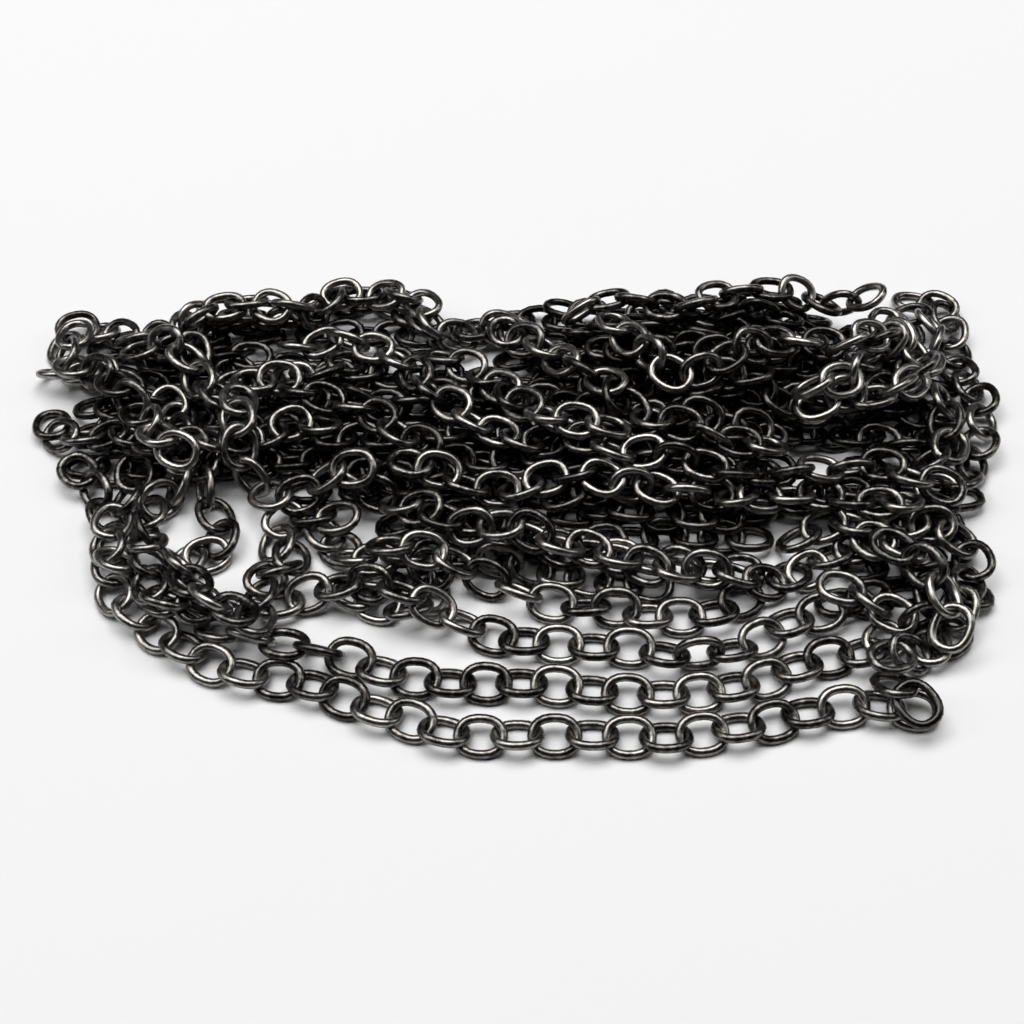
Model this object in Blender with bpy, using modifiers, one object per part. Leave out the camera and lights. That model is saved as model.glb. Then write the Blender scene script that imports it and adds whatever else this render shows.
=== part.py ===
"""Heap of fine iron oval cable chain, folded back and forth on a level floor.

The chain's visible stretches are runs of open oval links. The hidden turns of
chain inside the heap are one plain mound. Units are millimetres, scaled to
metres as the meshes are made. +X runs along the heap and +Z is up.
"""

import math

import bmesh
import bpy
import numpy as np
from mathutils import Matrix, Vector

MM = 0.001

# Middle of the heap's outline in plan
HEAP_MIDDLE = (0.22, 1.16)

# One link
LINK_LENGTH = 8.0
LINK_WIDTH = 6.6
WIRE = 1.3
SIDE_FLAT = 3.6

# How links lie in a run
PITCH = 5.45
TILT = math.radians(18.0)
STEEPEST = 0.6
POCKET_POINTS = 12

# A square wire with the round wire's area reaches this far from its middle
WIRE_REACH = WIRE / 2 * math.sqrt(math.pi / 2)
GAP = 0.3
CLEARANCE = 2 * WIRE_REACH + GAP

# A link stands this far off the hidden mound, with some more for its slopes
CORE_STANDOFF = 1.12 * (WIRE_REACH + GAP)

# Two nodes of one run lie end to end, one link's length apart
CUT_PITCH = LINK_LENGTH - WIRE + CLEARANCE

# Hidden turns of chain: middle x, middle y, half length, half depth, height
CORE_DOMES = [
    (-59, 20, 17, 20, 3.5),
    (-36, 28, 26, 16, 3.5),
    (-10, 14, 28, 20, 5.0),
    (30, 25, 29, 22, 8.5),
    (32, 33, 25, 13, 11.9),
    (22, 6, 26, 9, 5.5),
    (60, 20, 16, 23, 5.5),
    (40, -7, 32, 10, 2.5),
    (64, -14, 7, 10, 2.0),
    (-5, -6, 20, 9, 3.0),
]
DOME_SIDES = 16
DOME_RINGS = 4
DOME_POWER = 4
RING_SPACING = 0.7
RIM_DEPTH = 0.25

# Visible stretches, lowest first: name, number of nodes, plan points
ROUTES = [
    ("front_edge", 4, [
        (-71, 6), (-67, 3), (-64, -5), (-62, -12), (-62, -17), (-53, -25), (-44, -31),
        (-33, -35), (-22, -39), (-11, -43), (0, -45), (10, -44), (21, -45), (31, -43),
        (42, -41), (50, -39), (59, -39)]),
    ("second_row", 3, [
        (-55, -16), (-51, -20), (-47, -22), (-40, -25), (-31, -27), (-20, -31),
        (-10, -35), (2, -37), (13, -37), (24, -37), (34, -35), (43, -32), (49, -31),
        (57, -29)]),
    ("third_row", 2, [
        (-35, -19), (-29, -17), (-24, -17), (-18, -19), (-12, -22), (-5, -26),
        (6, -29), (17, -29), (26, -29), (34, -27), (41, -24), (46, -22)]),
    ("fourth_row", 1, [
        (-19, -10), (-12, -12), (-7, -15), (1, -20), (8, -22), (19, -22), (30, -21)]),
    ("inner_low", 1, [(-52, -13), (-48.5, -19), (-44, -21), (-41.5, -23)]),
    ("back_edge", 3, [
        (-78, 33), (-75, 37), (-68, 36), (-61, 35), (-55, 37), (-49, 41), (-42, 42),
        (-36, 42), (-30, 45), (-23, 45), (-17, 43), (-12, 38), (-6, 37)]),
    ("back_upper", 2, [
        (-55, 39.5), (-48.5, 44), (-40, 43), (-32, 43.5), (-25, 44), (-17, 43), (-10, 36),
        (-3, 39), (3, 35)]),
    ("right_edge", 2, [
        (73, 47), (76, 43), (76, 34), (77, 26), (79, 19), (78, 12), (74, 5), (69, 0)]),
    ("right_end", 1, [(71, 18.5), (71, 11.5), (70, 6), (65, 4)]),
    ("right_corner", 2, [
        (60, -9), (66, -9), (70, -15), (68, -22), (64, -27), (58, -31)]),
    ("middle_fold", 1, [(-27, -8), (-32, -5), (-36, -7), (-36, -12)]),
    ("inner_left", 1, [(-49, 5), (-49, 0), (-46, -5), (-45, -10), (-42, -15)]),
    ("left_hook", 1, [
        (-45, 18), (-45, 12), (-43, 4), (-40, 0), (-35, 0), (-30, 2), (-25, 4)]),
    ("left_turn", 2, [
        (-78, 29), (-73, 28), (-68, 25), (-62, 20), (-57, 15), (-55, 8), (-56, 1),
        (-57, -5), (-57, -12)]),
    ("left_cross", 1, [(-78, 18), (-72, 13), (-66, 12), (-60, 10), (-52, 9), (-44, 9), (-37, 10)]),
    ("left_rings", 1, [
        (-72.5, 27.5), (-68.5, 24), (-64.5, 19), (-60.5, 13), (-57, 9.5)]),
    ("left_ridge", 1, [(-54, 31), (-53, 24), (-47, 21), (-41, 22), (-35, 25), (-27, 27)]),
    ("fifth_row", 2, [
        (-27, -2), (-20, -4), (-8, -7), (3, -11), (12, -14), (22, -14), (32, -13),
        (42, -15), (50, -13), (57, -14)]),
    ("right_middle", 1, [
        (61, -14.5), (64.5, -18.5), (63, -23.5), (59, -25), (54, -21.5), (50, -19.5)]),
    ("sixth_row", 2, [
        (-18, 4), (-9, 1), (0, -2), (10, -3), (20, -4), (32, -3.5), (44, -4), (54, -4), (62, -5)]),
    ("seventh_row", 2, [
        (-6, 7), (4, 5), (14, 4), (24, 4), (34, 4), (44, 3.5), (54, 4), (61, 3), (68, 0)]),
    ("left_fill", 1, [
        (-36, 22), (-33.5, 19.5), (-28.5, 17), (-24, 14), (-19.5, 9)]),
    ("eighth_row", 1, [
        (-37, 35), (-30, 34), (-23, 30), (-18, 25), (-14, 19), (-9, 15)]),
    ("ninth_row", 1, [(-13, 32), (-7, 26), (-2, 20), (4, 14), (12, 11), (20, 10)]),
    ("tenth_row", 1, [(-1, 37), (5, 32), (11, 24), (17, 18), (24, 12), (32, 11), (41, 10)]),
    ("upper_row", 1, [
        (22, 26), (28, 20), (35, 20), (42, 24), (50, 27), (58, 29)]),
    ("right_hook", 1, [(66, 35), (68, 29), (67, 22), (61, 17), (54, 15), (47, 14)]),
    ("right_inner", 1, [(64.5, 32.5), (61, 30), (58.5, 24), (53.5, 19.5)]),
    ("back_slope", 2, [
        (8, 42), (16, 43.5), (25, 42.5), (34, 43), (43, 42.5), (51, 40)]),
    ("crest", 1, [
        (12, 38), (20.5, 36.5), (29, 31.5), (36, 34.5), (43, 34.5), (50, 33.5), (60, 32.5)]),
]

GUNMETAL = (0.090, 0.084, 0.078, 1.0)
SHADED_METAL = (0.030, 0.028, 0.027, 1.0)


def clear_scene():
    for thing in list(bpy.data.objects):
        bpy.data.objects.remove(thing, do_unlink=True)


def new_frame():
    """An empty that carries every node, so the heap's base middle is the origin."""
    carrier = bpy.data.objects.new("heap_frame", None)
    carrier.location = (-HEAP_MIDDLE[0] * MM, -HEAP_MIDDLE[1] * MM, 0.0)
    bpy.context.scene.collection.objects.link(carrier)
    return carrier


def new_collection(name):
    made = bpy.data.collections.new(name)
    bpy.context.scene.collection.children.link(made)
    return made


def metal(name, colour, roughness):
    made = bpy.data.materials.new(name)
    made.use_nodes = True
    shader = made.node_tree.nodes["Principled BSDF"]
    shader.inputs["Base Color"].default_value = colour
    shader.inputs["Metallic"].default_value = 1.0
    shader.inputs["Roughness"].default_value = roughness
    return made


def link_outline():
    """Corners of the wire's middle line, with the long side along X."""
    reach = (LINK_LENGTH - WIRE) / 2
    side = (LINK_WIDTH - WIRE) / 2
    flat = SIDE_FLAT / 2
    return [(reach, 0), (flat, side), (-flat, side), (-reach, 0), (-flat, -side), (flat, -side)]


def link_template():
    """One link as a closed four-sided tube, from a bevelled curve."""
    curve = bpy.data.curves.new("link_wire", "CURVE")
    curve.dimensions = "3D"
    curve.bevel_depth = WIRE_REACH
    curve.bevel_resolution = 0
    outline = link_outline()
    spline = curve.splines.new("POLY")
    spline.points.add(len(outline) - 1)
    for point, (x, y) in zip(spline.points, outline):
        point.co = (x, y, 0.0, 1.0)
    spline.use_cyclic_u = True
    holder = bpy.data.objects.new("link_wire", curve)
    bpy.context.scene.collection.objects.link(holder)
    bpy.context.view_layer.update()
    mesh = bpy.data.meshes.new_from_object(holder)
    bpy.data.objects.remove(holder, do_unlink=True)
    mesh.name = "link_template"
    return mesh


def wire_samples(spacing=0.5):
    """Points along the wire's middle line, for the resting rule."""
    corners = [Vector((x, y, 0.0)) for x, y in link_outline()]
    found = []
    for start, end in zip(corners, corners[1:] + corners[:1]):
        steps = max(1, round((end - start).length / spacing))
        for step in range(steps):
            found.append(start.lerp(end, step / steps))
    return np.array(found)


def smooth_plan(points, step=0.25):
    """Evenly spaced points on a smooth curve through the plan points."""
    pts = [np.array(p, dtype=float) for p in points]
    pts = [2 * pts[0] - pts[1]] + pts + [2 * pts[-1] - pts[-2]]
    fine = []
    for a, b, c, d in zip(pts, pts[1:], pts[2:], pts[3:]):
        for k in range(24):
            t = k / 24
            fine.append(0.5 * (2 * b + (c - a) * t + (2 * a - 5 * b + 4 * c - d) * t ** 2
                               + (3 * b - a - 3 * c + d) * t ** 3))
    fine.append(pts[-2])
    fine = np.array(fine)
    run = np.concatenate([[0.0], np.cumsum(np.linalg.norm(np.diff(fine, axis=0), axis=1))])
    stations = np.arange(0.0, run[-1], step)
    plan = np.column_stack([np.interp(stations, run, fine[:, k]) for k in range(2)])
    return stations, plan


def core_height(points):
    """Height of the mound's true domes under each point."""
    height = np.zeros(len(points))
    for x, y, half_length, half_depth, top in CORE_DOMES:
        inside = ((points[:, 0] - x) / half_length) ** 2 + ((points[:, 1] - y) / half_depth) ** 2
        height = np.maximum(height, top * (1 - inside ** (DOME_POWER / 2)))
    return height


def place_links(stations, plan, heights, cuts):
    """Walk along the run at the links' pitch and turn each link to its neighbours."""
    track = np.column_stack([plan, heights])
    picked = [0]
    while True:
        pitch = CUT_PITCH if len(picked) in cuts else PITCH
        ahead = track[picked[-1] + 1:]
        far = np.nonzero(np.linalg.norm(ahead - track[picked[-1]], axis=1) >= pitch)[0]
        if len(far) == 0:
            break
        picked.append(picked[-1] + 1 + int(far[0]))
    centres = track[picked]
    placed = []
    for number, centre in enumerate(centres):
        before = centres[max(number - 1, 0)]
        after = centres[min(number + 1, len(centres) - 1)]
        along = Vector(after - before).normalized()
        across = Vector((0, 0, 1)).cross(along).normalized()
        upward = along.cross(across)
        frame = Matrix((along, across, upward)).transposed()
        turned = frame @ Matrix.Rotation(TILT if number % 2 else -TILT, 3, "X")
        placed.append((np.array(centre), np.array(turned)))
    return picked, placed


def needed_lift(samples, corners, laid):
    """How far one link must rise to lie on the floor, the mound and earlier links."""
    lift = -corners[:, 2].min()
    on_core = core_height(samples)
    above = on_core > 0
    if above.any():
        lift = max(lift, (on_core[above] + CORE_STANDOFF - samples[above, 2]).max())
    if len(laid):
        near = np.abs(laid - samples.mean(axis=0))[:, :2].max(axis=1) < LINK_LENGTH
        others = laid[near]
        if len(others):
            flat = np.linalg.norm(samples[:, None, :2] - others[None, :, :2], axis=2)
            rise = np.sqrt(np.maximum(CLEARANCE ** 2 - flat ** 2, 0))
            stand = others[None, :, 2] + rise - samples[:, None, 2]
            touching = flat < CLEARANCE
            if touching.any():
                lift = max(lift, stand[touching].max())
    return lift


def rest_run(points, cuts, template_points, template_corners, laid):
    """Lay one run: it starts on the floor and rises only where something is under it."""
    stations, plan = smooth_plan(points)
    heights = np.full(len(stations), WIRE_REACH)
    for _ in range(30):
        picked, placed = place_links(stations, plan, heights, cuts)
        worst = 0.0
        for station, (centre, turned) in zip(picked, placed):
            samples = template_points @ turned.T + centre
            corners = template_corners @ turned.T + centre
            lift = needed_lift(samples, corners, laid)
            worst = max(worst, lift)
            reach = np.abs(stations - stations[station])
            tent = centre[2] + lift - STEEPEST * np.maximum(reach - PITCH / 2, 0)
            if lift > 0:
                heights = np.maximum(heights, tent)
        if worst < 0.001:
            break
    return placed


def links_object(name, template, placed, home):
    """Several links that don't touch, as one mesh."""
    joined = bmesh.new()
    for centre, turned in placed:
        before = len(joined.verts)
        joined.from_mesh(template)
        joined.verts.ensure_lookup_table()
        pose = Matrix.Translation(Vector(centre)) @ Matrix(turned.tolist()).to_4x4()
        bmesh.ops.transform(joined, matrix=pose, verts=joined.verts[before:])
    bmesh.ops.scale(joined, vec=(MM, MM, MM), verts=joined.verts[:])
    bmesh.ops.remove_doubles(joined, verts=joined.verts[:], dist=0.00001)
    bmesh.ops.recalc_face_normals(joined, faces=joined.faces[:])
    mesh = bpy.data.meshes.new(name)
    joined.to_mesh(mesh)
    joined.free()
    made = bpy.data.objects.new(name, mesh)
    home.objects.link(made)
    return made


def fuse(target, other):
    """Boolean union, applied, and the second object removed."""
    cut = target.modifiers.new("fuse", "BOOLEAN")
    cut.operation = "UNION"
    cut.solver = "EXACT"
    cut.object = other
    bpy.context.view_layer.update()
    shape = bpy.data.meshes.new_from_object(target.evaluated_get(bpy.context.evaluated_depsgraph_get()))
    target.modifiers.clear()
    target.data = shape
    bpy.data.objects.remove(other, do_unlink=True)


def drop_pockets(mesh):
    """Remove the tiny closed pockets that two crossing square wires leave inside."""
    shape = bmesh.new()
    shape.from_mesh(mesh)
    unseen = set(shape.verts)
    while unseen:
        shell = [unseen.pop()]
        for vert in shell:
            for edge in vert.link_edges:
                other = edge.other_vert(vert)
                if other in unseen:
                    unseen.remove(other)
                    shell.append(other)
        if len(shell) < POCKET_POINTS:
            bmesh.ops.delete(shape, geom=shell, context="VERTS")
    shape.to_mesh(mesh)
    shape.free()


def build_node(name, template, placed, material, home):
    """One stretch of chain, its neighbouring links fused where they bear on each other."""
    even = links_object(name, template, placed[0::2], home)
    if len(placed) > 1:
        fuse(even, links_object(name + "_odd", template, placed[1::2], home))
        drop_pockets(even.data)
    even.data.materials.clear()
    even.data.materials.append(material)
    return even


def build_runs(material, home):
    template = link_template()
    template_points = wire_samples()
    template_corners = np.array([v.co[:] for v in template.vertices])
    laid = np.zeros((0, 3))
    for name, nodes, points in ROUTES:
        stations, plan = smooth_plan(points)
        count = int(stations[-1] / PITCH) + 1
        cuts = {round(count * k / nodes) for k in range(1, nodes)}
        placed = rest_run(points, cuts, template_points, template_corners, laid)
        for centre, turned in placed:
            laid = np.vstack([laid, template_points @ turned.T + centre])
        ends = [0] + sorted(cuts) + [len(placed)]
        for part, (first, last) in enumerate(zip(ends, ends[1:])):
            node = name if nodes == 1 else name + "_" + str(part + 1)
            build_node(node, template, placed[first:last], material, home)
    bpy.data.meshes.remove(template)


def dome(number, x, y, half_length, half_depth, top, home):
    """A flat-topped mound turned from a power curve, with its rim under the floor."""
    profile = bmesh.new()
    verts = []
    for ring in range(DOME_RINGS + 1):
        radius = (1 + RIM_DEPTH) ** (1 / DOME_POWER) * (ring / DOME_RINGS) ** RING_SPACING
        verts.append(profile.verts.new((radius, 0.0, top * (1 - radius ** DOME_POWER))))
    verts.append(profile.verts.new((0.0, 0.0, -top * RIM_DEPTH)))
    for a, b in zip(verts, verts[1:]):
        profile.edges.new((a, b))
    mesh = bpy.data.meshes.new("dome")
    profile.to_mesh(mesh)
    profile.free()
    made = bpy.data.objects.new("dome_" + str(number), mesh)
    home.objects.link(made)
    turn = made.modifiers.new("turn", "SCREW")
    turn.axis = "Z"
    turn.angle = math.tau
    turn.steps = DOME_SIDES
    turn.render_steps = DOME_SIDES
    turn.use_merge_vertices = True
    turn.merge_threshold = 0.0001
    bpy.context.view_layer.update()
    shape = bpy.data.meshes.new_from_object(made.evaluated_get(bpy.context.evaluated_depsgraph_get()))
    made.modifiers.clear()
    made.data = shape
    shape.transform(Matrix.Diagonal((half_length * MM, half_depth * MM, MM, 1.0)))
    shape.transform(Matrix.Translation((x * MM, y * MM, 0.0)))
    tidy = bmesh.new()
    tidy.from_mesh(shape)
    bmesh.ops.remove_doubles(tidy, verts=tidy.verts[:], dist=0.00001)
    bmesh.ops.recalc_face_normals(tidy, faces=tidy.faces[:])
    tidy.to_mesh(shape)
    tidy.free()
    return made


def build_core(material, home, cutters):
    """The hidden turns: domes fused together and cut flat at the floor."""
    domes = [dome(k, *sizes, home) for k, sizes in enumerate(CORE_DOMES)]
    core = domes[0]
    core.name = "hidden_turns"
    for other in domes[1:]:
        fuse(core, other)
    bpy.ops.mesh.primitive_cube_add(size=1.0)
    floor = bpy.context.object
    floor.name = "floor_cutter"
    floor.scale = (0.4, 0.4, 0.02)
    floor.location = (0.0, 0.0, -0.01)
    floor.display_type = "WIRE"
    floor.hide_render = True
    for owner in list(floor.users_collection):
        owner.objects.unlink(floor)
    cutters.objects.link(floor)
    cut = core.modifiers.new("flat_base", "BOOLEAN")
    cut.operation = "DIFFERENCE"
    cut.solver = "EXACT"
    cut.object = floor
    core.data.materials.clear()
    core.data.materials.append(material)


def main():
    clear_scene()
    home = new_collection("heap_of_iron_chain")
    cutters = new_collection("cutters")
    cutters.hide_render = True
    plated = metal("gunmetal_plated_iron", GUNMETAL, 0.34)
    shaded = metal("shaded_gunmetal", SHADED_METAL, 0.6)
    build_core(shaded, home, cutters)
    build_runs(plated, home)
    carrier = new_frame()
    for thing in list(home.objects) + list(cutters.objects):
        thing.parent = carrier


main()
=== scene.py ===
import math

import bpy
import numpy as np
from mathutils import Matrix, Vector


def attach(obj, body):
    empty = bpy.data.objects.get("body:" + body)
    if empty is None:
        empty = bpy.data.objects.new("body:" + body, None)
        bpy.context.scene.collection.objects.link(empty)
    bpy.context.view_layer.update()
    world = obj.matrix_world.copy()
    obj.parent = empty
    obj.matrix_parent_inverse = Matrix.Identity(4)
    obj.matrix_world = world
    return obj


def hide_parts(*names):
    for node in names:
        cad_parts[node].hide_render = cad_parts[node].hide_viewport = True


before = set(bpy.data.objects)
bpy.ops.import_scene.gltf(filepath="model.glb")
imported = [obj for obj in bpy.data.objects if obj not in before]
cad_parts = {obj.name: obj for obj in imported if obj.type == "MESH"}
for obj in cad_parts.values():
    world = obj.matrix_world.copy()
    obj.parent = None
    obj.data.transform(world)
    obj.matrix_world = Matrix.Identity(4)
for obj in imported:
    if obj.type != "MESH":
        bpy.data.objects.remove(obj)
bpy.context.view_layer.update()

bl_info = {
    "name": "Heap of fine iron chain",
    "version": (1, 0, 0),
    "blender": (4, 5, 0),
    "location": "View3D > Sidebar > Chain heap",
    "description": "Lays a fine oval cable chain back and forth, lets it settle and plates it",
    "category": "Object",
}

# Lengths in this file are millimetres, scaled to metres where meshes are made.
MM = 0.001

# Middle of the heap's outline in plan, as in the part's source
HEAP_MIDDLE = np.array([0.22, 1.16, 0.0])

# The camera looks at the middle of the floor from this height angle and distance
LOOK_DOWN = math.radians(50.0)
LOOK_FROM = 257.0
FOCAL_SHARE = 1581 / 1024

# One link: a full oval of round wire
LINK_LENGTH = 8.0
LINK_WIDTH = 6.6
WIRE = 1.3
FULLNESS = 2.3

# Reach of the eight-sided wire's corners, in wire diameters, so that its section has the
# round wire's area
CORNER_REACH = 0.527

# How links lie before they settle: distance between links, and leans of links in the flat
# rows, in loose runs and in hidden ones
PITCH = 5.2
LONGEST_PITCH = 5.45
BUNCHED_PITCH = 4.6
FLAT_LEAN = math.radians(16.5)
LOOSE_LEAN = math.radians(36.0)
HIDDEN_LEAN = math.radians(34.0)
LOOSE_WANDER = math.radians(24.0)
LOOSE_YAW = math.radians(20.0)
STEEPEST = 0.6
STEEPEST_LINKS = 0.8

# Least and wished distance between the wires of two threaded links
THREAD_ROOM = 0.75
GOOD_ROOM = 0.9

# Contact between links while they settle: wire points on a link, its sectors, the distance at
# which wires touch, how far ahead pairs are listed, and friction
POINTS_A_LINK = 24
SECTORS = 6
TOUCH = 1.26
NEAR = 0.45
GRIP = 0.35

# Settling: seconds a step, pull in mm/s2, and how firmly seen links keep to their line of
# sight. Overlaps are pressed apart first and the links fall after that. Each stage has its
# count of steps, the share of speed that is kept and the longest move of a step.
STEP = 0.001
FALL = 2000.0
HOLD = 0.01
PRESS_APART = (40, 0.0, 0.3, 0.25)
LET_FALL = (120, FALL, 0.96, 0.15)
STAGES = 5
PASSES = 4
LARGEST_TURN = 0.08

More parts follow.
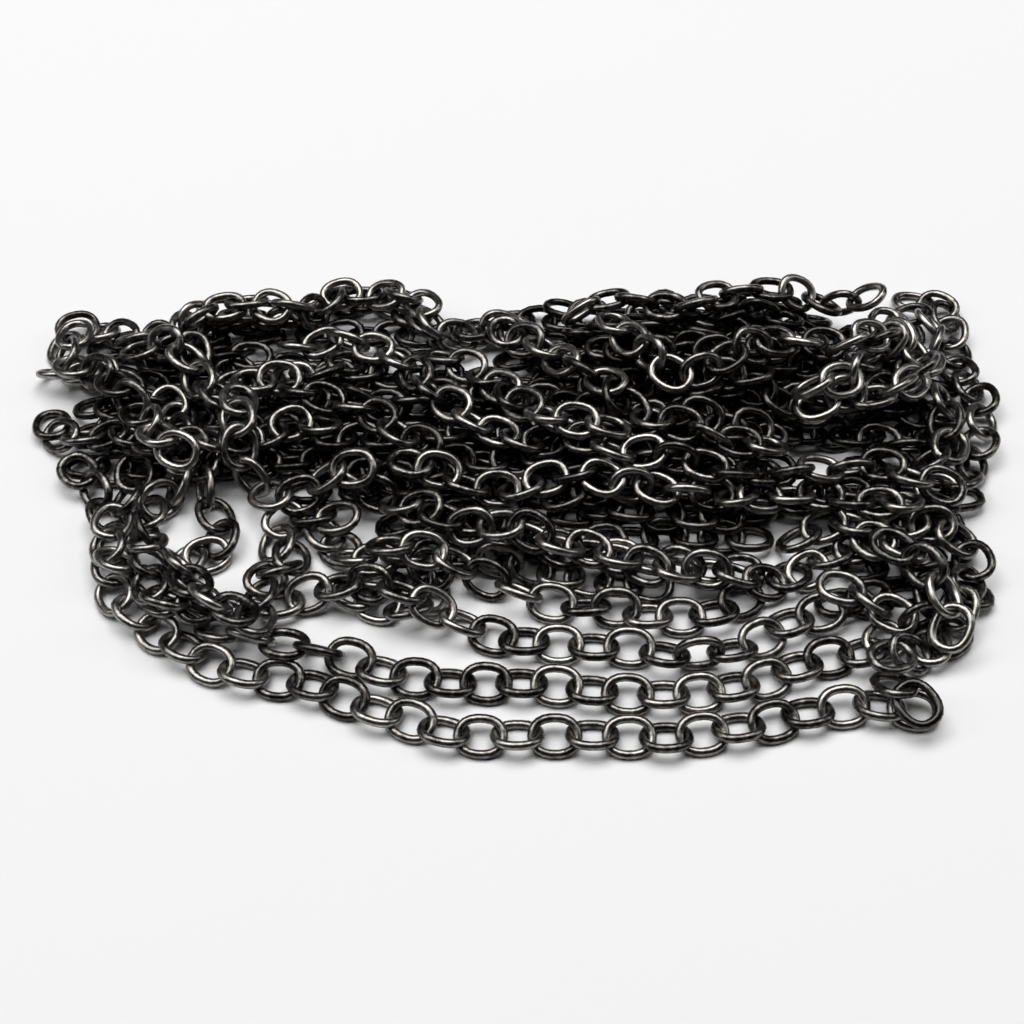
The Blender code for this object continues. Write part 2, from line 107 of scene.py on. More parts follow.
# Runs that the photo shows, lowest first: points are x, y and rough height,
# one for about every link. The last number of a row is its count of links.
SEEN_RUNS = {
    "front_edge": ([
        (-71.5, 6.5, 3), (-67, 3, 2), (-64.5, -4, 1.5), (-62, -10.5, 1.5),
        (-63, -16.5, 1.5), (-58, -21, 1.5), (-53.5, -25.5, 1.5), (-49, -28, 1.5),
        (-44, -31.5, 1.5), (-38.5, -33, 1.5), (-33, -34, 1.5), (-27, -35.5, 1.5),
        (-22.5, -38.5, 1.5), (-16.5, -40, 1.5), (-11.5, -42.5, 1.5), (-6, -43.5, 1.5),
        (-0.5, -43.5, 1.5), (5, -43.5, 1.5), (10, -43.5, 1.5), (15.5, -43.5, 1.5),
        (20.5, -44, 1.5), (25.5, -43.5, 1.5), (31, -42.5, 1.5), (36.5, -41.5, 1.5),
        (41.5, -40, 1.5), (46.5, -39, 1.5), (50, -38.5, 1.5), (55, -38.5, 1.5),
        (59, -39, 1.5)], 29),
    "free_end": ([
        (55.5, -36.5, 3), (57.5, -38, 2.5), (59, -38.5, 2)], 0),
    "second_row": ([
        (-56, -17, 4), (-53, -20, 2.5), (-49, -23, 1.5), (-45.5, -24, 1.5),
        (-40.5, -25.5, 1.5), (-34.5, -27.5, 1.5), (-29.5, -28.2, 1.5), (-25, -29.7, 1.5),
        (-20, -32, 1.5), (-14.5, -33.7, 1.5), (-9, -34.5, 1.5), (-3.5, -34.5, 1.5),
        (2, -34.5, 1.5), (7.5, -35, 1.5), (13, -36, 1.5), (18.5, -36.5, 1.5),
        (23.5, -36.5, 1.5), (29, -36, 1.5), (33.5, -35, 1.5), (38.5, -33.5, 1.5),
        (43, -31.5, 1.5), (48, -29.5, 1.5), (52, -29.5, 1.5), (56.5, -27.5, 3)], 24),
    "third_row": ([
        (-35.5, -21, 3), (-30.5, -18.5, 3), (-25, -18, 4), (-19.5, -18.5, 5),
        (-14.5, -20.5, 4), (-9, -22, 1.5), (-5, -25, 1.5), (1, -26.5, 1.5),
        (6, -27.5, 1.5), (11.5, -28, 1.5), (17, -28, 1.5), (22.5, -29, 1.5),
        (28, -29.5, 1.5), (33, -28.5, 1.5), (38, -26.5, 1.5), (42.5, -23, 1.5),
        (47, -23, 4)], 17),
    "left_low": ([
        (-61.5, 5.5, 4), (-62, 0.5, 3), (-64, -4, 2.5), (-64, -9, 2.5), (-61.5, -12.5, 2)], 0),
    "left_inner": ([
        (-50, 6, 6), (-49.5, 1.5, 5), (-48.5, -2, 3.5), (-45.5, -6, 3), (-47.5, -11.5, 3),
        (-50.5, -12.5, 3.5), (-51, -17, 3), (-47.5, -20, 3)], 0),
    "left_column": ([
        (-56, -13, 4), (-56, -17, 3), (-53.5, -21, 3), (-50, -20, 3), (-47, -21, 3),
        (-43, -22, 3)], 0),
    "fourth_row": ([
        (-19, -12.5, 7), (-13.5, -13, 6.5), (-8.5, -14.5, 5), (-3.5, -16.5, 3.5),
        (1.5, -18, 2.5), (7.5, -20, 1.5), (13.5, -20, 1.5), (18.5, -21, 1.5),
        (23.5, -22, 1.5), (29.5, -22, 1.5), (35.5, -19.5, 2.5)], 11),
    "middle_fold": ([
        (-27, -7.5, 6), (-32, -5, 5), (-36, -5, 4), (-37, -9.5, 3), (-34.5, -11, 1.5),
        (-38, -14.5, 1.5), (-39, -19.5, 2), (-39, -24, 3)], 0),
    "inner_low": ([(-52, -13, 4), (-48.5, -19, 4), (-44, -21, 3), (-41.5, -23, 3)], 0),
    "right_corner": ([
        (61, -9.5, 7), (66, -8.5, 7), (69, -11.5, 6), (71.5, -15, 4), (69, -19, 4),
        (67, -23.5, 4), (65, -27.5, 3), (60.5, -29, 2), (56.5, -30.5, 2)], 0),
    "right_edge": ([
        (71.5, 44.5, 5), (75.5, 42, 6), (76, 34.5, 6.5), (76, 26, 6), (78.5, 21, 4.5),
        (79, 15, 3.5), (76, 8.5, 3), (73, 3, 3), (67.5, -0.5, 5)], 0),
    "right_column": ([
        (66.5, 33.5, 4), (68, 37.5, 5), (70.5, 41.5, 5.5), (73.5, 39, 5.5), (74, 34.5, 5.5),
        (71, 28.5, 6), (68.5, 25.5, 6.5), (64.5, 21.5, 7), (60, 19, 8.5), (55, 16, 10)], 0),
    "fifth_row": ([
        (-25.5, -1, 9), (-19.5, -4.5, 9), (-13.5, -6.5, 8), (-8, -8.5, 7),
        (-2.5, -7.5, 6), (3, -8.5, 5), (8, -10, 4), (14, -10.5, 3.5), (19, -12.5, 3),
        (25, -14.5, 3), (31, -14, 3), (36, -17, 3), (41.5, -16, 3), (47, -14.5, 4),
        (52.5, -11, 5), (58, -11.5, 5)], 0),
    "back_edge": ([
        (-78, 33.5, 4), (-75.5, 37, 5), (-68.5, 36, 5), (-62, 35, 5), (-57.5, 32.5, 6),
        (-54, 39, 6), (-50, 42.5, 6), (-45, 41.5, 5.5), (-42, 43, 5), (-36, 42, 5),
        (-30, 44.5, 6), (-23.5, 44.5, 6), (-18, 44, 6), (-15.5, 40, 5), (-11, 36, 5),
        (-5.5, 37.5, 4)], 0),
    "back_upper": ([
        (-55, 39.5, 6), (-51, 40.5, 6.5), (-48.5, 44, 6), (-44, 42, 6), (-40, 43, 6),
        (-36.5, 40, 6), (-32, 43.5, 6.5), (-29, 46, 6.5), (-25, 44, 6), (-21.5, 46, 6),
        (-17, 43, 6), (-14, 37.5, 6), (-10, 35, 6), (-5.5, 37.5, 5), (-1, 38.5, 4.5),
        (3, 35, 5)], 0),
    "right_middle": ([
        (45, -9, 4), (51.5, -6.5, 6), (57, -12, 6.5), (61, -14.5, 7), (64.5, -18.5, 6),
        (63, -23.5, 5), (59, -25, 4.5), (54, -21.5, 5), (50, -19.5, 5)], 0),
    "right_low": ([
        (57.5, -14.5, 5), (60.5, -16, 5), (64, -18.5, 5), (66.5, -22, 4.5),
        (68.5, -22.5, 3.5), (67, -27, 3)], 0),
    "left_turn": ([
        (-78.5, 29.5, 2), (-73.5, 28, 4), (-69.5, 25.5, 6), (-64.5, 20, 7.5),
        (-57.5, 17.5, 8), (-54.5, 11.5, 8.5), (-52.5, 5.5, 8), (-53, -0.5, 7),
        (-57, -4, 6), (-56.5, -11.5, 5)], 0),
    "left_cross": ([
        (-77.5, 17.5, 2), (-73.5, 12, 3), (-68, 12.5, 5), (-61.5, 10, 6.5),
        (-56, 6, 7), (-50.5, 9, 7.5), (-45, 8.5, 8), (-40.5, 8.5, 8), (-37, 11.5, 8.5),
        (-31, 10, 9)], 0),
    "left_rings": ([
        (-76.5, 36.5, 4), (-77.5, 30, 4), (-72.5, 27.5, 5.5), (-68.5, 25, 7), (-64.5, 19, 8),
        (-60.5, 13, 8.5), (-57, 9.5, 8), (-54, 6, 8)], 0),
    "left_ridge": ([
        (-54.5, 30.5, 7), (-54, 24.5, 7), (-50, 19.5, 7), (-45, 22.5, 6.5),
        (-38, 23.5, 6), (-32.5, 25.5, 6.5), (-27, 27, 7)], 0),
    "left_back": ([
        (-65, 33.5, 4), (-62, 34.5, 5), (-57.5, 32.5, 6), (-53.5, 25.5, 7), (-51.5, 20, 7.5),
        (-48, 18, 7.5), (-45, 15, 8), (-44, 8, 8.5)], 0),
    "left_hook": ([
        (-45.5, 18.5, 7), (-45, 12, 8), (-43, 4, 8), (-40, 0.5, 5), (-36, -2, 5),
        (-30.5, 1, 6.5), (-25, 2.5, 8)], 0),
    "left_fill": ([
        (-44, 25, 5), (-38.5, 24, 6), (-33.5, 19.5, 7), (-28.5, 17, 8), (-24, 14, 9),
        (-19.5, 9, 10), (-14.5, 4.5, 10)], 0),
    "right_end": ([(72, 18.5, 7), (71, 11.5, 7), (71, 6, 7), (67, 4, 7)], 0),
    "sixth_row": ([
        (-16, 2, 10), (-10.5, -0.5, 9), (-5, -1.5, 8), (0.5, -1.5, 7.5), (5.5, 0, 8),
        (10, 1.5, 8), (14.5, 0.5, 8), (20.5, -1, 7.5), (26, -1.5, 7), (32, -1.5, 6.5),
        (37.5, -2, 6), (42.5, -1.5, 6), (48, -1.5, 6), (53, -2.5, 6), (57, -5, 7),
        (61.5, -4.5, 8)], 0),
    "eighth_row": ([
        (-37, 34.5, 4), (-31, 34.5, 5), (-24.5, 31.5, 6), (-19.5, 27.5, 7),
        (-14, 20, 9), (-10.5, 14, 10), (-5.5, 9.5, 10.5), (-0.5, 6.5, 11),
        (5, 4, 11)], 0),
    "seventh_row": ([
        (7.5, 9, 11), (12.5, 6, 11), (15.5, 4, 10.5), (20.5, 4, 10), (26.5, 3, 9.5),
        (32.5, 1, 9), (37, 1, 8.5), (42.5, 2, 8), (48, 1.5, 8), (54, 2.5, 8),
        (59, 2, 8.5), (64, 0.5, 8), (68.5, -0.5, 6)], 0),
    "right_hook": ([
        (65, 36.5, 6), (67.5, 31.5, 7), (69, 24.5, 8), (64, 18.5, 9.5), (59, 16, 10),
        (53.5, 15, 11), (49, 12.5, 12)], 0),
    "right_inner": ([
        (64.5, 32.5, 6), (61, 30, 7), (58.5, 24, 8), (53.5, 19.5, 9.5), (49.5, 18, 11)], 0),
    "ninth_row": ([
        (-12.5, 31, 5), (-7, 26, 7), (-2.5, 20, 9), (1.5, 15, 10), (6.5, 10, 11.5),
        (11.5, 8, 12), (15.5, 7, 12)], 0),
    "tenth_row": ([
        (-1, 37.5, 4), (5, 32.5, 6), (10, 24, 9), (15, 19.5, 11), (18, 12, 13),
        (23, 8.5, 13), (28.5, 6.5, 12.5), (34, 5, 12), (40.5, 4.5, 11)], 0),
    "upper_row": ([
        (16.5, 27, 14), (20.5, 24.5, 14), (24, 18.5, 14.5), (29, 15.5, 15),
        (33, 18, 15.5), (36.5, 21, 16), (41.5, 23, 15.5), (46, 25.5, 14),
        (53.5, 28, 11), (59.5, 29.5, 8), (64, 32, 8)], 0),
    "crest": ([
        (12, 38, 9), (16, 38, 11), (20.5, 36.5, 13), (25, 34, 14), (29, 31.5, 15),
        (32.5, 33, 16), (36, 34.5, 17), (39.5, 33.5, 17.5), (43, 34.5, 17), (47, 36, 16),
        (50, 33.5, 14), (55, 31.5, 11), (60, 32.5, 9)], 0),
}

# Runs that lie under the seen ones and show in the gaps between them
LOW_RUNS = {
    "lump_low": [
        (-24.5, -18.5, 1), (-22, -19.5, 1), (-18.5, -21.5, 1), (-15.5, -21, 1),
        (-12.5, -18.5, 1), (-13.5, -15.5, 1), (-17, -14.5, 1), (-20.5, -15, 1)],
    "lump_back": [
        (-29.5, -8.5, 3), (-26, -11, 3.5), (-23, -13, 3.5), (-19.5, -12.5, 3.5),
        (-16, -13, 3.5), (-12.5, -14.5, 3)],
    "under_fourth": [
        (-2, -10.5, 1), (2, -12, 1), (6, -13, 1), (10, -14.5, 1), (13.5, -15.5, 1),
        (17.5, -16.5, 1), (21.5, -16.5, 1)],
    "under_fifth": [
        (-7, -2.5, 1), (-2, -5, 1), (3, -6.5, 1), (7.5, -8.5, 1), (12.5, -9.5, 1),
        (17, -10.5, 1), (21.5, -11.5, 1), (26.5, -12.5, 1), (31, -13, 1), (35.5, -14.5, 1)],
}

# The back slope, which the photo doesn't show: x, y and height
BACK_SLOPE = [
    (-70, 38, 6), (-62, 38, 7), (-52, 43, 7), (-44, 44, 7), (-35, 43, 7), (-24, 45, 7),
    (-14, 41, 6), (-10, 44, 3), (5, 45, 3), (20, 46, 4), (36, 47, 4), (50, 46, 4),
    (65, 43, 4), (20, 42, 8), (36, 43, 9), (50, 42, 7), (0, 42, 4), (72, 22, 7),
    (70, 10, 7), (-70, 20, 6), (-66, 30, 7),
]

# Places where the floor shows between the runs: x, y and reach
FLOOR_SPOTS = [
    (-45, -0.6, 5), (-29.7, -8.9, 5), (-17.1, -23.9, 4), (-24.8, -22.6, 4),
    (-9.4, -27.3, 3.5), (48.7, 9.1, 3.5), (48.2, -8.3, 3), (-7.4, 35.1, 3),
    (48.7, -34.5, 3), (37.2, -15.9, 3),
]

# Layers of hidden turns: how each is turned in degrees, their heights, the gap between rows,
# how deep they stay under the seen surface, and how far they reach
LAYER_TURNS = (4, -9, 8, -6, 10, -4)
LAYER_START = 1.4
LAYER_HEIGHT = 2.45
LAYER_TOP = 14.0
ROW_GAP = 7.2
ROW_DRIFT = 1.6
COVER = 1.9
HIDDEN_SIDE = 74
HIDDEN_FRONT = -24
HIDDEN_BACK = 43.5
LINK_HALF = 3.3

# Which chain runs make up each piece, and the nodes of the frame it stands for
PIECES = {
    "front_rows": (
        ("front_edge", "free_end", "second_row", "third_row", "fourth_row", "under_fourth"),
        ("front_edge_1", "front_edge_2", "front_edge_3", "front_edge_4", "second_row_1",
         "second_row_2", "second_row_3", "third_row_1", "third_row_2", "fourth_row")),
    "middle_rows": (
        ("under_fifth", "fifth_row", "sixth_row", "seventh_row"),
        ("fifth_row_1", "fifth_row_2", "sixth_row_1", "sixth_row_2", "seventh_row_1",
         "seventh_row_2")),
    "upper_rows": (
        ("eighth_row", "ninth_row", "tenth_row", "upper_row", "crest"),
        ("eighth_row", "ninth_row", "tenth_row", "upper_row", "crest", "back_slope_1",
         "back_slope_2")),
    "back_rows": (
        ("back_edge", "back_upper"),
        ("back_edge_1", "back_edge_2", "back_edge_3", "back_upper_1", "back_upper_2")),
    "left_folds": (
        ("lump_low", "lump_back", "middle_fold", "left_inner", "inner_low", "left_low",
         "left_column", "left_hook", "left_turn", "left_cross", "left_rings", "left_ridge",
         "left_back", "left_fill"),
        ("middle_fold", "inner_left", "inner_low", "left_hook", "left_turn_1", "left_turn_2",
         "left_cross", "left_rings", "left_ridge", "left_fill")),
    "right_folds": (
        ("right_edge", "right_column", "right_corner", "right_hook", "right_inner",
         "right_middle", "right_low", "right_end"),
        ("right_edge_1", "right_edge_2", "right_end", "right_corner_1", "right_corner_2",
         "right_middle", "right_hook", "right_inner")),
    "hidden_turns_of_chain": (("hidden",), ("hidden_turns",)),
}


# Geometry of one link and of a run

def oval(count):
    """Points evenly along the middle of a link's wire, long side along X."""
    turn = np.linspace(0, 2 * math.pi, 720, endpoint=False)
    c, s = np.cos(turn), np.sin(turn)
    power = 2 / FULLNESS
    x = (LINK_LENGTH - WIRE) / 2 * np.sign(c) * np.abs(c) ** power
    y = (LINK_WIDTH - WIRE) / 2 * np.sign(s) * np.abs(s) ** power
    line = np.stack([x, y, 0 * x], 1)
    closed = np.vstack([line, line[:1]])
    length = np.concatenate([[0], np.cumsum(np.linalg.norm(np.diff(closed, axis=0), axis=1))])
    marks = np.linspace(0, length[-1], count, endpoint=False)
    return np.stack([np.interp(marks, length, closed[:, k]) for k in range(3)], 1)


OVAL = oval(POINTS_A_LINK)


def smooth_line(points, steps=16):
    """A Catmull-Rom line through the points."""
    p = np.array(points, float)
    p = np.vstack([2 * p[0] - p[1], p, 2 * p[-1] - p[-2]])
    t = (np.arange(steps) / steps)[:, None]
    spans = []
    for a, b, c, d in zip(p[:-3], p[1:-2], p[2:-1], p[3:]):
        spans.append(0.5 * (2 * b + (c - a) * t + (2 * a - 5 * b + 4 * c - d) * t ** 2
                            + (3 * b - a - 3 * c + d) * t ** 3))
    spans.append(p[-2:-1])
    return np.vstack(spans)


def spaced(line, count):
    """The line's points again, at equal distances."""
    length = np.concatenate([[0], np.cumsum(np.linalg.norm(np.diff(line, axis=0), axis=1))])
    marks = np.linspace(0, length[-1], count)
    return np.stack([np.interp(marks, length, line[:, k]) for k in range(line.shape[1])], 1)


def line_length(line):
    return np.linalg.norm(np.diff(line, axis=0), axis=1).sum()


def link_frames(middles, lean, yaw=0.0):
    """Each link's axes: X along the run, turned aside and leaned about it."""
    ahead = np.empty_like(middles)
    ahead[1:-1] = middles[2:] - middles[:-2]
    ahead[0] = middles[1] - middles[0]
    ahead[-1] = middles[-1] - middles[-2]
    ahead = unit(ahead)
    side = unit(np.stack([-ahead[:, 1], ahead[:, 0], 0 * ahead[:, 0]], 1))
    up = cross(ahead, side)
    c, s = np.cos(yaw + 0 * lean)[:, None], np.sin(yaw + 0 * lean)[:, None]
    ahead, side = ahead * c + side * s, side * c - ahead * s
    c, s = np.cos(lean)[:, None], np.sin(lean)[:, None]
    return np.stack([ahead, side * c + up * s, up * c - side * s], 2)


def wires(middles, axes):
    """The points along every link's wire."""
    return middles[:, None, :] + np.einsum("nij,kj->nki", axes, OVAL)


def cross(a, b):
    return np.stack([
        a[..., 1] * b[..., 2] - a[..., 2] * b[..., 1],
        a[..., 2] * b[..., 0] - a[..., 0] * b[..., 2],
        a[..., 0] * b[..., 1] - a[..., 1] * b[..., 0]], -1)


def unit(v):
    return v / np.maximum(np.sqrt((v * v).sum(-1)), 1e-12)[..., None]


def passes_through(a, b):
    """Whether one link is threaded through the other, by Gauss's linking number."""
    a2, b2 = np.roll(a, -1, 0), np.roll(b, -1, 0)
    r1, r2 = a[:, None] - b[None], a[:, None] - b2[None]
    r3, r4 = a2[:, None] - b2[None], a2[:, None] - b[None]
    n1, n2 = unit(cross(r1, r2)), unit(cross(r2, r3))
    n3, n4 = unit(cross(r3, r4)), unit(cross(r4, r1))
    area = sum(np.arcsin(np.clip((u * v).sum(-1), -1, 1))
               for u, v in ((n1, n2), (n2, n3), (n3, n4), (n4, n1)))
    way = np.sign((cross((b2 - b)[None], (a2 - a)[:, None]) * r1).sum(-1))
    return abs(abs((area * way).sum() / (4 * math.pi)) - 1) < 0.2


def sight_line(points, height):
    """Plan places of points slid along their lines of sight to other heights."""
    eye = np.array([0.0, -LOOK_FROM * math.cos(LOOK_DOWN), LOOK_FROM * math.sin(LOOK_DOWN)])
    share = (eye[2] - height) / (eye[2] - points[:, 2])
    return eye[:2] + (points[:, :2] - eye[:2]) * share[:, None]


# Laying the runs down, one on another

class Ground:
    """How high the middle of a wire must be to clear what already lies there."""

    CELL = 0.25
    LOW = np.array([-100.0, -70.0])
    CELLS = (800, 560)

    def __init__(self):
        self.top = np.full(self.CELLS, WIRE / 2)
        reach = int(TOUCH / self.CELL) + 1
        near = np.arange(-reach, reach + 1)
        gx, gy = np.meshgrid(near, near, indexing="ij")
        self.near = np.stack([gx.ravel(), gy.ravel()], 1)

    def cells(self, points):
        return ((points[..., :2] - self.LOW) / self.CELL).astype(int)

    def lift(self, points):
        """How far each link must rise to clear the ground under it."""
        cell = self.cells(points)
        return (self.top[cell[..., 0], cell[..., 1]] - points[..., 2]).max(-1)

    def add(self, points):
        points = points.reshape(-1, 3)
        cell = self.cells(points)[:, None] + self.near
        off = self.LOW + (cell + 0.5) * self.CELL - points[:, None, :2]
        room = TOUCH ** 2 - (off ** 2).sum(-1)
        held = room > 0
        height = points[:, 2:3] + np.sqrt(np.maximum(room, 0))
        np.maximum.at(self.top, (cell[held][:, 0], cell[held][:, 1]), height[held])


def wander(count, dice, spacing, size):
    """A smooth random drift along a run."""
    knots = max(2, int(count / spacing) + 2)
    drift = dice.uniform(-1, 1, knots) * size
    return np.interp(np.linspace(0, knots - 1, count), np.arange(knots), drift)


def gentle(height, steps, slope):
    """Raises heights where a run would be steeper than the slope."""
    height = height.copy()
    for i in range(1, len(height)):
        height[i] = max(height[i], height[i - 1] - slope * steps[i - 1])
    for i in range(len(height) - 2, -1, -1):
        height[i] = max(height[i], height[i + 1] - slope * steps[i])
    return height


def closest(a, b):
    gap = a[:, None] - b[None]
    return math.sqrt((gap * gap).sum(-1).min())


def thread(middles, lean, yaw):
    """Turns or shifts links that don't pass through their neighbour."""
    axes = link_frames(middles, lean, yaw)
    for i in range(len(middles) - 1):
        a, b = wires(middles[i:i + 2], axes[i:i + 2])
        if passes_through(a, b) and closest(a, b) > THREAD_ROOM:
            continue
        best = None
        for shift, aside in ((0, 1), (0, 0), (0.35, 0), (0.7, 0), (0.7, -1), (1.4, 0)):
            for turn in (0, 15, -15, 30, -30, 45, -45, 60, -60, 90):
                new_lean, new_yaw, new = lean.copy(), yaw.copy(), middles.copy()
                new_lean[i + 1] += math.radians(turn)
                new_yaw[i:i + 2] *= aside
                new[i + 1:] -= unit(middles[i + 1] - middles[i]) * shift
                new_axes = link_frames(new, new_lean, new_yaw)
                w = wires(new[max(i - 1, 0):i + 2], new_axes[max(i - 1, 0):i + 2])
                if all(passes_through(p, q) for p, q in zip(w, w[1:])):
                    room = closest(w[-2], w[-1])
                    if best is None or room > best[0]:
                        best = (room, new, new_lean, new_yaw)
                    if room > GOOD_ROOM:
                        break
            if best and best[0] > GOOD_ROOM:
                break
        if best:
            _, middles, lean, yaw = best
            axes = link_frames(middles, lean, yaw)
    return middles, axes


def lay_run(ground, points, lean, dice, count, seen):
    """Lays a run of links on what is there already and returns their places."""
    points = np.array(points, float)
    line = smooth_line(points)
    dense = spaced(line, max(3, int(line_length(line[:, :2])) + 1))
    traced = dense.copy()
    for _ in range(3 if seen else 1):
        flat = dense * (1, 1, 0)
        need = ground.lift(wires(flat, link_frames(flat, np.zeros(len(flat))))) + 0.5
        steps = np.linalg.norm(np.diff(flat, axis=0), axis=1)
        height = gentle(need, steps, STEEPEST)
        bell = np.exp(-0.5 * (np.arange(-4, 5) / 2.0) ** 2)
        soft = np.convolve(np.pad(height, 4, mode="edge"), bell / bell.sum(), "valid")
        dense[:, 2] = np.maximum(soft, (height + soft) / 2)
        if seen:
            dense[:, :2] = sight_line(traced, dense[:, 2])
    length = line_length(dense)
    links = max(2, int(length / (PITCH if count else BUNCHED_PITCH)) + 1)
    if count and length / (count - 1) < LONGEST_PITCH:
        links = count
    middles = spaced(dense, links)
    leans = np.where(np.arange(links) % 2 == 0, -lean, lean)
    yaw = np.zeros(links)
    if not count:
        leans = leans + dice.uniform(-LOOSE_WANDER, LOOSE_WANDER, links)
        yaw = dice.uniform(-LOOSE_YAW, LOOSE_YAW, links)
    for _ in range(3):
        lift = ground.lift(wires(middles, link_frames(middles, leans, yaw)))
        middles[:, 2] += np.maximum(lift, 0)
        middles[:, 2] = gentle(middles[:, 2], np.full(links, PITCH), STEEPEST_LINKS)
    middles, axes = thread(middles, leans, yaw)
    ground.add(wires(middles, axes))
    return middles, axes


def cover_height(x, y, guides):
    """Rough height of the seen surface over a place, or none where it is open."""
    far = (x[:, None] - guides[None, :, 0]) ** 2 + (y[:, None] - guides[None, :, 1]) ** 2
    weight = np.exp(-far / 50.0)
    total = weight.sum(1)
    height = (weight * guides[None, :, 2]).sum(1) / np.maximum(total, 1e-9)
    return np.where(total < 0.30, 0.0, height)


def hidden_rows(dice):
    """Plan points of the hidden turns, layer by layer, under the seen surface."""
    guides = np.vstack([np.array(points, float) for points, _ in SEEN_RUNS.values()]
                       + [np.array(BACK_SLOPE, float)])
    rows = []
    height, layer = LAYER_START, 0
    while height < LAYER_TOP:
        turn = math.radians(LAYER_TURNS[layer % len(LAYER_TURNS)])
        along = np.arange(-85, 85, PITCH * 0.985)
        shift = ROW_GAP / 2 if layer % 2 else 0
        for across in np.arange(-60, 70, ROW_GAP) + shift:
            drift = across + wander(len(along), dice, 4, ROW_DRIFT)
            x = along * math.cos(turn) - drift * math.sin(turn)
            y = along * math.sin(turn) + drift * math.cos(turn)
            keep = cover_height(x, y, guides) > height + COVER
            keep &= (np.abs(x) < HIDDEN_SIDE) & (y < HIDDEN_BACK) & (y > HIDDEN_FRONT)
            for spot_x, spot_y, reach in FLOOR_SPOTS:
                keep &= (x - spot_x) ** 2 + (y - spot_y) ** 2 > (reach + LINK_HALF) ** 2
            ends = np.flatnonzero(np.diff(np.concatenate([[0], keep, [0]])))
            for start, stop in zip(ends[::2], ends[1::2]):
                if stop - start >= 4:
                    flat = np.zeros(stop - start)
                    rows.append(np.stack([x[start:stop], y[start:stop], flat], 1))
        layer += 1
        height += LAYER_HEIGHT
    return rows


def lay_heap():
    """Lays every run and returns names, link counts, middles and axes."""
    dice, low_dice = np.random.default_rng(7), np.random.default_rng(8)
    ground = Ground()
    names, sizes, middles, axes = [], [], [], []
    laid = [("hidden", row, HIDDEN_LEAN, 0, dice) for row in hidden_rows(dice)]
    for name, points in LOW_RUNS.items():
        laid.append((name, points, LOOSE_LEAN, 0, low_dice))
    for name, (points, count) in SEEN_RUNS.items():
        laid.append((name, points, FLAT_LEAN if count else LOOSE_LEAN, count, dice))
    for name, points, lean, count, run_dice in laid:
        places, turns = lay_run(ground, points, lean, run_dice, count, name != "hidden")
        names.append(name)
        sizes.append(len(places))
        middles.append(places)
        axes.append(turns)
    return names, sizes, np.vstack(middles), np.concatenate(axes)


# Settling: links are stiff, fall, touch, slide and come to rest

def quaternions(axes):
    """Unit quaternions of rotation matrices, w first."""
    m = axes
    q = np.stack([
        1 + m[:, 0, 0] + m[:, 1, 1] + m[:, 2, 2],
        1 + m[:, 0, 0] - m[:, 1, 1] - m[:, 2, 2],
        1 - m[:, 0, 0] + m[:, 1, 1] - m[:, 2, 2],
        1 - m[:, 0, 0] - m[:, 1, 1] + m[:, 2, 2]], 1)
    q = np.sqrt(np.maximum(q, 0)) / 2
    best = q.argmax(1)
    wx, wy, wz = m[:, 2, 1] - m[:, 1, 2], m[:, 0, 2] - m[:, 2, 0], m[:, 1, 0] - m[:, 0, 1]
    xy, xz, yz = m[:, 0, 1] + m[:, 1, 0], m[:, 0, 2] + m[:, 2, 0], m[:, 1, 2] + m[:, 2, 1]
    big = 4 * q[np.arange(len(q)), best]
    full = 4 * q[np.arange(len(q)), best] ** 2
    rows = np.stack([
        np.stack([full, wx, wy, wz], 1), np.stack([wx, full, xy, xz], 1),
        np.stack([wy, xy, full, yz], 1), np.stack([wz, xz, yz, full], 1)], 1)
    return unit(rows[np.arange(len(q)), best] / big[:, None])


def matrices(q):
    w, x, y, z = q.T
    return np.stack([
        np.stack([1 - 2 * (y * y + z * z), 2 * (x * y - w * z), 2 * (x * z + w * y)], 1),
        np.stack([2 * (x * y + w * z), 1 - 2 * (x * x + z * z), 2 * (y * z - w * x)], 1),
        np.stack([2 * (x * z - w * y), 2 * (y * z + w * x), 1 - 2 * (x * x + y * y)], 1)], 1)


def turned(q, turn):
    """Quaternions q turned by small rotation vectors."""
    w, x, y, z = q.T
    a, b, c = (turn / 2).T
    return unit(q + np.stack([
        -a * x - b * y - c * z, a * w + b * z - c * y, b * w + c * x - a * z,
        c * w + a * y - b * x], 1))


def turn_between(q, before):
    """Small rotation vectors that take the earlier quaternions to the later."""
    w1, x1, y1, z1 = q.T
    w2, x2, y2, z2 = (before * (1, -1, -1, -1)).T
    w = w1 * w2 - x1 * x2 - y1 * y2 - z1 * z2
    v = np.stack([
        w1 * x2 + x1 * w2 + y1 * z2 - z1 * y2, w1 * y2 - x1 * z2 + y1 * w2 + z1 * x2,
        w1 * z2 + x1 * y2 - y1 * x2 + z1 * w2], 1)
    return 2 * v * np.sign(w)[:, None]


